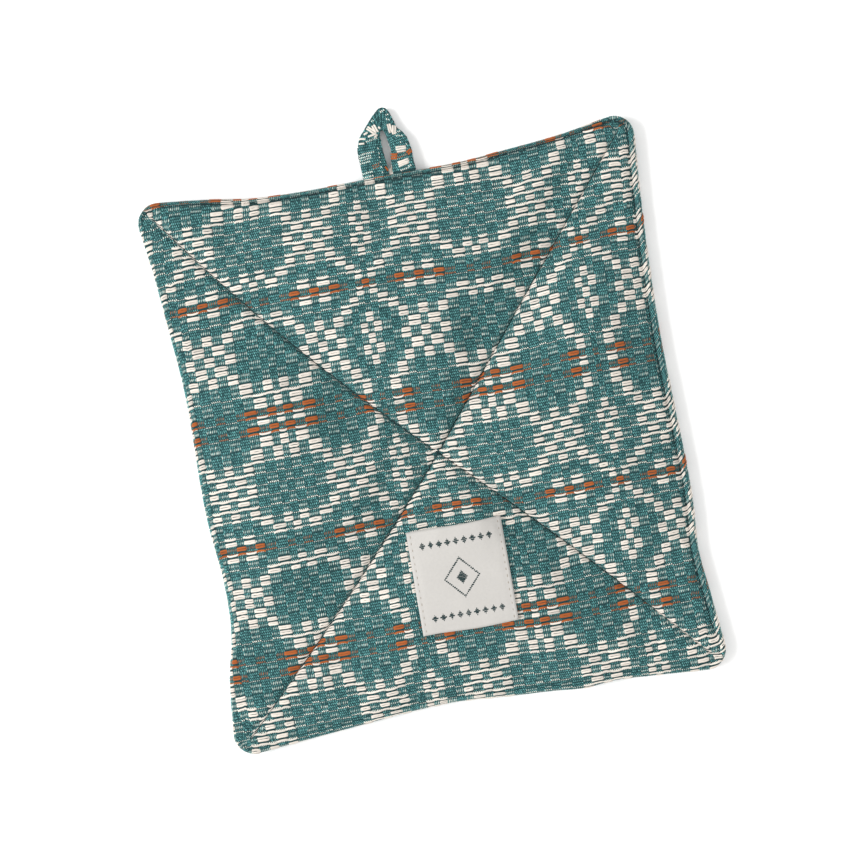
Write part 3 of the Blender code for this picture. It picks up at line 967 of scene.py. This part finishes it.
sewing_thread = yarn("teal_sewing_thread", THREAD_TEAL, 0.10)
groove_line = edge_ring(TOPSTITCH_INSET)
groove_line = np.vstack([groove_line, groove_line[:1]]) + IN_FRAME[:2]
arm_lines = [arm + IN_FRAME[:2] for arm in ARMS]
for side, seen_from, mirror, hidden in (("face", "plan", (1, 1), sunk), ("back", "under", (-1, 1), None)):
    cloth = searchable(cover, seen_from)
    across = [arm * mirror for arm in arm_lines]
    for piece in (
        sewn(f"{side}_topstitching", cloth, [groove_line * mirror], TOPSTITCH, sewing_thread, 3, hidden),
        sewn(f"{side}_quilting_stitches", cloth, across, QUILTING_STITCH, sewing_thread, 5),
    ):
        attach(piece, "root")


# ==================================================================== the hanging loop
# A strip of the same cloth folded in on itself to a flat tape, doubled over, and caught in
# the top seam with its two feet side by side. It is soft, and gathers where it turns.

LOOP_RAILS = (
    # outer edge x, y and inner edge x, y in millimetres, from the left foot over to the right
    (-9.0, 106.6, 1.9, 106.6), (-9.0, 109.5, 1.8, 109.5), (-9.1, 112.0, 1.6, 112.0),
    (-9.2, 114.5, 1.3, 114.5), (-9.3, 117.0, 1.0, 117.0), (-9.2, 119.5, 0.9, 119.3),
    (-8.4, 121.8, 0.8, 121.2), (-7.3, 124.2, 0.8, 122.8), (-5.6, 126.3, 0.9, 123.9),
    (-4.0, 128.3, 1.1, 124.5), (-2.0, 130.6, 1.3, 125.1), (0.2, 132.8, 1.6, 125.4),
    (2.4, 134.6, 2.0, 125.5), (4.6, 134.5, 2.4, 125.4), (6.1, 132.7, 2.7, 125.1),
    (6.9, 130.2, 3.0, 124.3), (7.7, 127.6, 3.2, 123.6), (8.5, 125.3, 3.4, 122.7),
    (10.1, 123.5, 3.5, 121.5), (11.5, 121.0, 3.8, 119.8), (12.2, 118.0, 4.2, 117.3),
    (12.5, 115.0, 3.7, 114.6), (12.5, 112.0, 3.4, 112.0), (12.7, 109.5, 3.3, 109.5),
    (12.9, 106.9, 3.3, 106.9),
)
LOOP_STEPS = 96
LOOP_ROUND = 40
LOOP_SQUARENESS = 0.55
LOOP_ROW = 0.00109
LOOP_THICKNESS = 0.0023
LOOP_FOOT_HEIGHT = 0.0034
LOOP_TIP_HEIGHT = 0.0018
UNDER_LAYER_FROM = 0.80
UNDER_LAYER_STEP = 0.04
UNDER_LAYER_DROP = 0.0008
TURN_LENGTH = 0.22
GATHERS = 9
GATHER_DEPTH = 0.00022
LOOP_YARNS = (
    # middle x and y, turned by, length, yarns side by side, colour; degrees and millimetres
    (-7.0, 121.5, -4, 2.4, 1, 0), (-6.4, 123.3, -10, 3.2, 1, 0), (-4.6, 125.2, 22, 1.9, 1, 0),
    (-2.3, 126.2, -46, 4.0, 2, 0), (-0.6, 126.5, -70, 3.4, 2, 0), (-2.2, 124.1, 12, 3.8, 1, 0),
    (-0.7, 123.5, 42, 2.0, 1, 0), (1.2, 126.6, -60, 1.2, 1, 0),
    (5.3, 125.6, -84, 3.9, 2, 0), (6.9, 124.7, 80, 3.8, 2, 0),
    (8.3, 117.0, -2, 4.4, 2, 0), (8.3, 115.6, -2, 4.0, 1, 0),
    (5.1, 115.0, -14, 3.2, 1, 1), (4.7, 113.7, -14, 3.3, 2, 1), (11.4, 114.9, 36, 2.4, 2, 1),
    (8.3, 111.3, 10, 4.6, 2, 0), (8.3, 110.1, 13, 4.5, 1, 0),
    (3.0, 109.4, 88, 4.4, 1, 0), (1.2, 109.8, -62, 2.4, 1, 1),
)
LOOP_TICKS = (
    # first x and last x, y, its rise to the last, colour
    (-8.6, -4.4, 107.3, 0.3, 0), (-8.6, -4.4, 108.9, 0.4, 0), (-8.8, -4.4, 113.2, 0.3, 0),
    (-8.8, -4.2, 114.4, 0.4, 0), (-8.8, -4.2, 115.4, 0.4, 0), (-8.8, -2.4, 116.6, 0.5, 0),
    (-4.0, -1.2, 110.3, 0.9, 1), (-4.0, -1.2, 111.4, 0.8, 1), (-0.8, -0.4, 108.3, 0.0, 0),
    (-0.8, -0.4, 110.4, 0.0, 0), (-0.8, -0.4, 112.4, 0.0, 0), (-0.8, -0.4, 114.4, 0.0, 0),
    (-0.8, -0.4, 116.2, 0.0, 0), (-0.8, -0.4, 118.2, 0.0, 0), (-5.0, 0.0, 121.6, 0.8, 0),
    (-8.8, -8.2, 120.2, 0.4, 0), (-1.4, -0.6, 129.4, 0.3, 0), (2.8, 4.6, 132.6, 0.6, 0),
    (4.8, 5.6, 130.8, 0.2, 0), (4.8, 5.8, 129.2, -0.4, 0), (7.6, 9.6, 123.2, 0.4, 0),
    (7.4, 9.8, 121.8, -0.3, 0), (8.6, 9.2, 119.0, 0.2, 0), (10.8, 11.4, 117.8, 0.0, 0),
    (6.8, 10.0, 112.8, 0.9, 1), (6.8, 10.0, 114.8, 0.2, 1), (6.8, 9.8, 107.7, 0.5, 0),
    (10.2, 11.2, 108.7, 0.4, 0), (3.4, 3.6, 118.9, 0.0, 0),
)


def loop_rings():
    """Rings round the tape, and where their points lay in it: the way round and along."""
    rails = np.array(LOOP_RAILS) / 1000
    row = np.arange(len(rails), dtype=float)
    at = np.linspace(0, len(rails) - 1, LOOP_STEPS)
    smooth = np.stack([through(np.stack([row, rail], 1), at) for rail in rails.T], 1)
    outer, inner = smooth[:, :2], smooth[:, 2:]
    along = np.append(0, np.cumsum(np.linalg.norm(np.diff((outer + inner) / 2, axis=0), axis=1)))
    turned = np.linspace(0, 2 * math.pi, LOOP_ROUND, endpoint=False)
    across = (1 - np.cos(turned)) / 2
    full = np.sign(np.sin(turned)) * np.abs(np.sin(turned)) ** LOOP_SQUARENESS
    foot, tip = rails[:, 1].min(), rails[:, 1].max()
    rings, flats = [], []
    for k, share in enumerate(at / (len(rails) - 1)):
        ring = outer[k] + (inner[k] - outer[k]) * across[:, None]
        risen = np.clip((ring[:, 1] - foot) / (tip - foot), 0, 1)
        high = LOOP_FOOT_HEIGHT + (LOOP_TIP_HEIGHT - LOOP_FOOT_HEIGHT) * risen + full * LOOP_THICKNESS / 2
        turning = math.exp(-(((share - 0.5) / TURN_LENGTH) ** 2))
        gather = np.sin(share * GATHERS * 2 * math.pi) * across * turning
        under_layer = np.clip((across - UNDER_LAYER_FROM) / UNDER_LAYER_STEP, 0, 1) * (1 - turning)
        high += (full > 0) * (gather * GATHER_DEPTH - under_layer * UNDER_LAYER_DROP)
        rings.append(np.column_stack([ring, high]))
        way_round = np.where(turned <= math.pi, across, 2 - across) * np.linalg.norm(inner[k] - outer[k])
        flats.append(np.column_stack([way_round, np.full(len(ring), along[k])]))
    return rings, np.vstack([*flats, flats[0].mean(0)[None], flats[-1].mean(0)[None]])


def loop_floats():
    """The pattern yarns that show on the loop, as rows for laid_threads, and their directions."""
    rows, way = [], []
    for x, y, turn, length, yarns, colour in LOOP_YARNS:
        turn = math.radians(turn)
        for k in range(yarns):
            aside = (k - (yarns - 1) / 2) * PAIR_APART * 2
            place = np.array((x, y)) / 1000 + aside * np.array((-math.sin(turn), math.cos(turn)))
            rows.append((*(place + IN_FRAME[:2]), length / 1000, colour, 0))
            way.append((math.cos(turn), math.sin(turn)))
    return np.array(rows), np.array(way)


def loop_half_tones():
    """The short rows of upright ticks that show beside those yarns."""
    ticks = []
    for first, last, y, rise, colour in LOOP_TICKS:
        for x in np.arange(first, last, WARP * 2000):
            place = np.array((x, y + rise * (x - first) / (last - first))) / 1000 + IN_FRAME[:2]
            ticks += showing("upper lone half tone", [place[0]], place[1], 1, colour)
    return np.array(ticks)


def loop_ends(cloth, width, length):
    """Warp ends all over the tape, in rows that take turns."""
    warp = []
    for row in range(int(length / LOOP_ROW)):
        ends = np.arange(0, width, 2 * WARP) + (WARP if row % 2 else 0)
        warp += showing("warp", ends, (row + 0.5) * LOOP_ROW, 0, 0)
    warp = np.array(warp)
    return warp[inside(cloth, warp[:, :2], ON_THE_CLOTH)]


rings, flats = loop_rings()
loop_mesh = rolled_grid([ring + IN_FRAME for ring in rings])
loop = piece_of("loop_tape", loop_mesh, ground_cloth("teal_loop_weave_painted_shade"))
laid = flats[corners_of(loop.data)].astype(np.float32)
# The faces that close the tape end at nought, where they should end the whole way round it.
laid[:, 0] += np.where(laid[:, 0] == 0, of_face(loop.data, laid[:, 0]), 0)
lay_out(loop.data, "cloth", laid)
smoothed_once(loop)
loop_above = searchable(loop, "plan")
loop_yarns = laid_threads(
    "loop_pattern_yarns", loop_above, *loop_floats(), YARN_WIDTH, YARN_HEIGHT, PATTERN_YARNS, 13
)
loop_ticks = laid_bumps("loop_half_tones", loop_above, loop_half_tones(), HALF_TONE_STRANDS, 17)
loop_cloth = searchable(loop)
loop_warp = laid_bumps("loop_warp", loop_cloth, loop_ends(loop_cloth, *flats.max(0)), WARP_STRANDS, 18, 4)
for piece in (loop, loop_yarns, loop_ticks, loop_warp):
    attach(piece, "root")
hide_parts("hanging_loop")


# ==================================================================== the woven label
# A small damask label of cream cotton, its top and bottom turned under, laid on the lower
# puff and sewn down its two sides. A diamond is woven in it, between two rows of small ones.

LABEL_CORNERS = ((-18.1, -78.3), (20.5, -78.6), (20.9, -36.4), (-17.7, -36.5))
LABEL_SIZE = (0.0386, 0.0421)
LABEL_GRID = (38, 42)
LABEL_LIFT = 0.0010
LABEL_THICKNESS = 0.0004
TURNED_UNDER = 0.0042
TURNING_HEIGHT = 0.00022
TURNING_SOFTNESS = 0.00018
LABEL_WAVE = 0.00025
LABEL_SMOOTHING = 40
LABEL_SEAM_INSET = 0.0015
LABEL_SEAM_WIDTH = 0.0007
LABEL_SEAM_DEPTH = 0.00022
LABEL_SEAM_SHORT = 0.0006
LABEL_STITCH = (0.0012, 0.0026, 0.00034, 0.00018)
LABEL_CREAM = (0.452, 0.437, 0.415)
LABEL_THREAD = (0.300, 0.262, 0.215)
ORNAMENT_DARK = (0.016, 0.034, 0.036)
ORNAMENT_THREAD = (0.00078, 0.00014)
PICK = 0.62
HOLLOW_FLOAT = 1.1
SMALL_DIAMOND_STEP = 3.4
BORDER_FROM_MIDDLE = 14.6
LARGE_DIAMOND = 13


def label_sheet():
    """The label's grid of points on the puff, as (across, up) shares and places."""
    mesh = bmesh.new()
    bmesh.ops.create_grid(mesh, x_segments=LABEL_GRID[0], y_segments=LABEL_GRID[1], size=1)
    share = np.array([vert.co[:2] for vert in mesh.verts]) / 2 + 0.5
    low_left, low_right, high_right, high_left = np.array(LABEL_CORNERS) / 1000
    low = low_left + (low_right - low_left) * share[:, :1]
    high = high_left + (high_right - high_left) * share[:, :1]
    plan = low + (high - low) * share[:, 1:]
    plan[:, 1] += LABEL_WAVE * np.sin(share[:, 0] * 7.0 + 0.5) * (np.abs(share[:, 1] - 0.5) * 2) ** 8
    plan += IN_FRAME[:2]
    under = on_cloth(searchable(cover, "plan"), plan, np.zeros(len(plan)))[:, 2]
    grid = under.reshape(LABEL_GRID[1] + 1, LABEL_GRID[0] + 1)
    for _ in range(LABEL_SMOOTHING):
        padded = np.pad(grid, 1, mode="reflect", reflect_type="odd")
        grid = (padded[2:, 1:-1] + padded[:-2, 1:-1] + padded[1:-1, 2:] + padded[1:-1, :-2] + 2 * grid) / 6
        grid = np.maximum(grid, under.reshape(grid.shape))
    to_side, to_end = (np.minimum(share, 1 - share) * LABEL_SIZE).T
    high = grid.ravel() + LABEL_LIFT
    high += TURNING_HEIGHT / (1 + np.exp((to_end - TURNED_UNDER) / TURNING_SOFTNESS))
    high -= LABEL_SEAM_DEPTH * np.exp(-(((to_side - LABEL_SEAM_INSET) / LABEL_SEAM_WIDTH) ** 2))
    for vert, (x, y), z in zip(mesh.verts, plan, high):
        vert.co = (x, y, z)
    return mesh, share * LABEL_SIZE


def damask(name):
    """Fine cream label weave: close rows of satin, slightly yellowed, with a faint grid of painted shade in
    the grooves between picks and ends.
    """
    satin = Shading(name, "cloth")
    picks, ends = satin.ripple(satin.y, 0.00033), satin.ripple(satin.x, 0.00026)
    weave = satin.total(satin.times(picks, 0.5), satin.times(ends, 0.35))
    fluff = satin.noise(satin.flat, 900.0, 4.0)
    stain = satin.noise(satin.flat, 70.0, 2.0)
    # Painted shade: the weave term darkens the grooves between the picks and between the ends.
    light = satin.total(satin.times(weave, 0.5), satin.times(fluff, 0.5), satin.around(stain, 0.5))
    dark = [part * 0.86 for part in LABEL_CREAM]
    pale = [min(part * 1.08, 0.9) for part in LABEL_CREAM]
    return satin.finish(
        light, dark, pale, satin.total(weave, fluff), (0.35, 0.00006),
        Roughness=0.7, Specular_IOR_Level=0.35, Sheen_Weight=0.05,
    )


def label_seams():
    """The two lines that the label is sewn along, a little in from its sides."""
    low_left, low_right, high_right, high_left = np.array(LABEL_CORNERS) / 1000 + IN_FRAME[:2]
    shorter = np.array(((0, LABEL_SEAM_SHORT), (0, -LABEL_SEAM_SHORT)))
    left = np.array((low_left, high_left)) + (LABEL_SEAM_INSET, 0) + shorter
    return left, np.array((low_right, high_right)) - (LABEL_SEAM_INSET, 0) + shorter


def diamond(x, y, picks, hollow=False):
    """A woven diamond, one dark float or two to each pick: (x, y, length) in millimetres."""
    floats = []
    for pick in range(-picks, picks + 1):
        half = (picks + 0.5 - abs(pick)) * PICK * 0.9
        if hollow and half > HOLLOW_FLOAT:
            out = half - HOLLOW_FLOAT / 2
            floats += [(x - out, y + pick * PICK, HOLLOW_FLOAT), (x + out, y + pick * PICK, HOLLOW_FLOAT)]
        else:
            floats.append((x, y + pick * PICK, 2 * half))
    return floats


def label_floats():
    """A large diamond round a small one, between two rows of smaller ones."""
    x, y = np.mean(LABEL_CORNERS, 0)
    floats = diamond(x, y, LARGE_DIAMOND, hollow=True) + diamond(x, y, 4)
    for aside in (-BORDER_FROM_MIDDLE, BORDER_FROM_MIDDLE):
        for k in range(-4, 5):
            floats += diamond(x + k * SMALL_DIAMOND_STEP, y + aside, 2)
    floats = np.array(floats) / 1000
    count = len(floats)
    rows = np.column_stack([floats[:, :2] + IN_FRAME[:2], floats[:, 2], np.zeros((count, 2))])
    return rows, np.tile((1.0, 0.0), (count, 1))


label_mesh, label_flat = label_sheet()
label = piece_of("label_cloth", label_mesh, damask("cream_label_damask"))
lay_out(label.data, "cloth", label_flat[corners_of(label.data)])
label_above = searchable(label, "plan")
thick = label.modifiers.new("thickness", "SOLIDIFY")
thick.thickness = LABEL_THICKNESS
thick.offset = -1
tan_thread = yarn("tan_sewing_thread", LABEL_THREAD, 0.08)
dark_thread = yarn("dark_label_thread", ORNAMENT_DARK, 0.08)
label_ornament = laid_threads(
    "label_ornament", label_above, *label_floats(), *ORNAMENT_THREAD, (dark_thread,), 23
)
label_stitches = sewn("label_stitches", label_above, label_seams(), LABEL_STITCH, tan_thread, 19)
for piece in (label, label_stitches, label_ornament):
    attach(piece, "root")
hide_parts("woven_label")


# ==================================================================== floor, light and camera
# A white table top under soft daylight from a large window on the left and a weaker one on the
# right, seen from straight above with the pad turned a little, as it was laid down.

FLOOR_GAP = 0.0006

floor_mesh = bmesh.new()
bmesh.ops.create_grid(floor_mesh, x_segments=1, y_segments=1, size=3.0)
bmesh.ops.translate(floor_mesh, verts=floor_mesh.verts, vec=(0, 0, -FLOOR_GAP))
white_paper = Shading("white_paper")
white_paper.set_inputs(white_paper.shader, {"Base Color": (0.96, 0.96, 0.96, 1), "Roughness": 0.9})
floor = piece_of("floor", floor_mesh, white_paper.material)

world = bpy.data.worlds.new("soft_daylight")
world.use_nodes = True
sky = world.node_tree.nodes["Background"]
sky.inputs["Color"].default_value = (1.0, 0.995, 0.985, 1)
sky.inputs["Strength"].default_value = 0.80
bpy.context.scene.world = world


def window(name, place, size, watts):
    """A large soft light that faces the middle of the pad."""
    light = bpy.data.lights.new(name, "AREA")
    light.shape = "RECTANGLE"
    light.size, light.size_y = size
    light.energy = watts
    lamp = bpy.data.objects.new(name, light)
    lamp.location = place
    lamp.rotation_euler = (-Vector(place)).to_track_quat("-Z", "Y").to_euler()
    bpy.context.collection.objects.link(lamp)


window("window_left", (-2.4, 0.2, 1.75), (1.4, 1.4), 98.0)
window("window_right", (2.2, -0.3, 1.5), (1.4, 1.4), 22.0)

camera_data = bpy.data.cameras.new("camera")
camera_data.lens = 85
camera_data.sensor_width = 36
camera = bpy.data.objects.new("camera", camera_data)
camera.location = (-0.0002, -0.0085, 0.829)
camera.rotation_euler = (0, 0, math.radians(-10.4))
bpy.context.collection.objects.link(camera)
bpy.context.scene.camera = camera
bpy.context.scene.view_settings.view_transform = "Standard"
# The weave is fine, and reads as noise unless it is taken as it is.
bpy.context.scene.cycles.denoising_prefilter = "NONE"
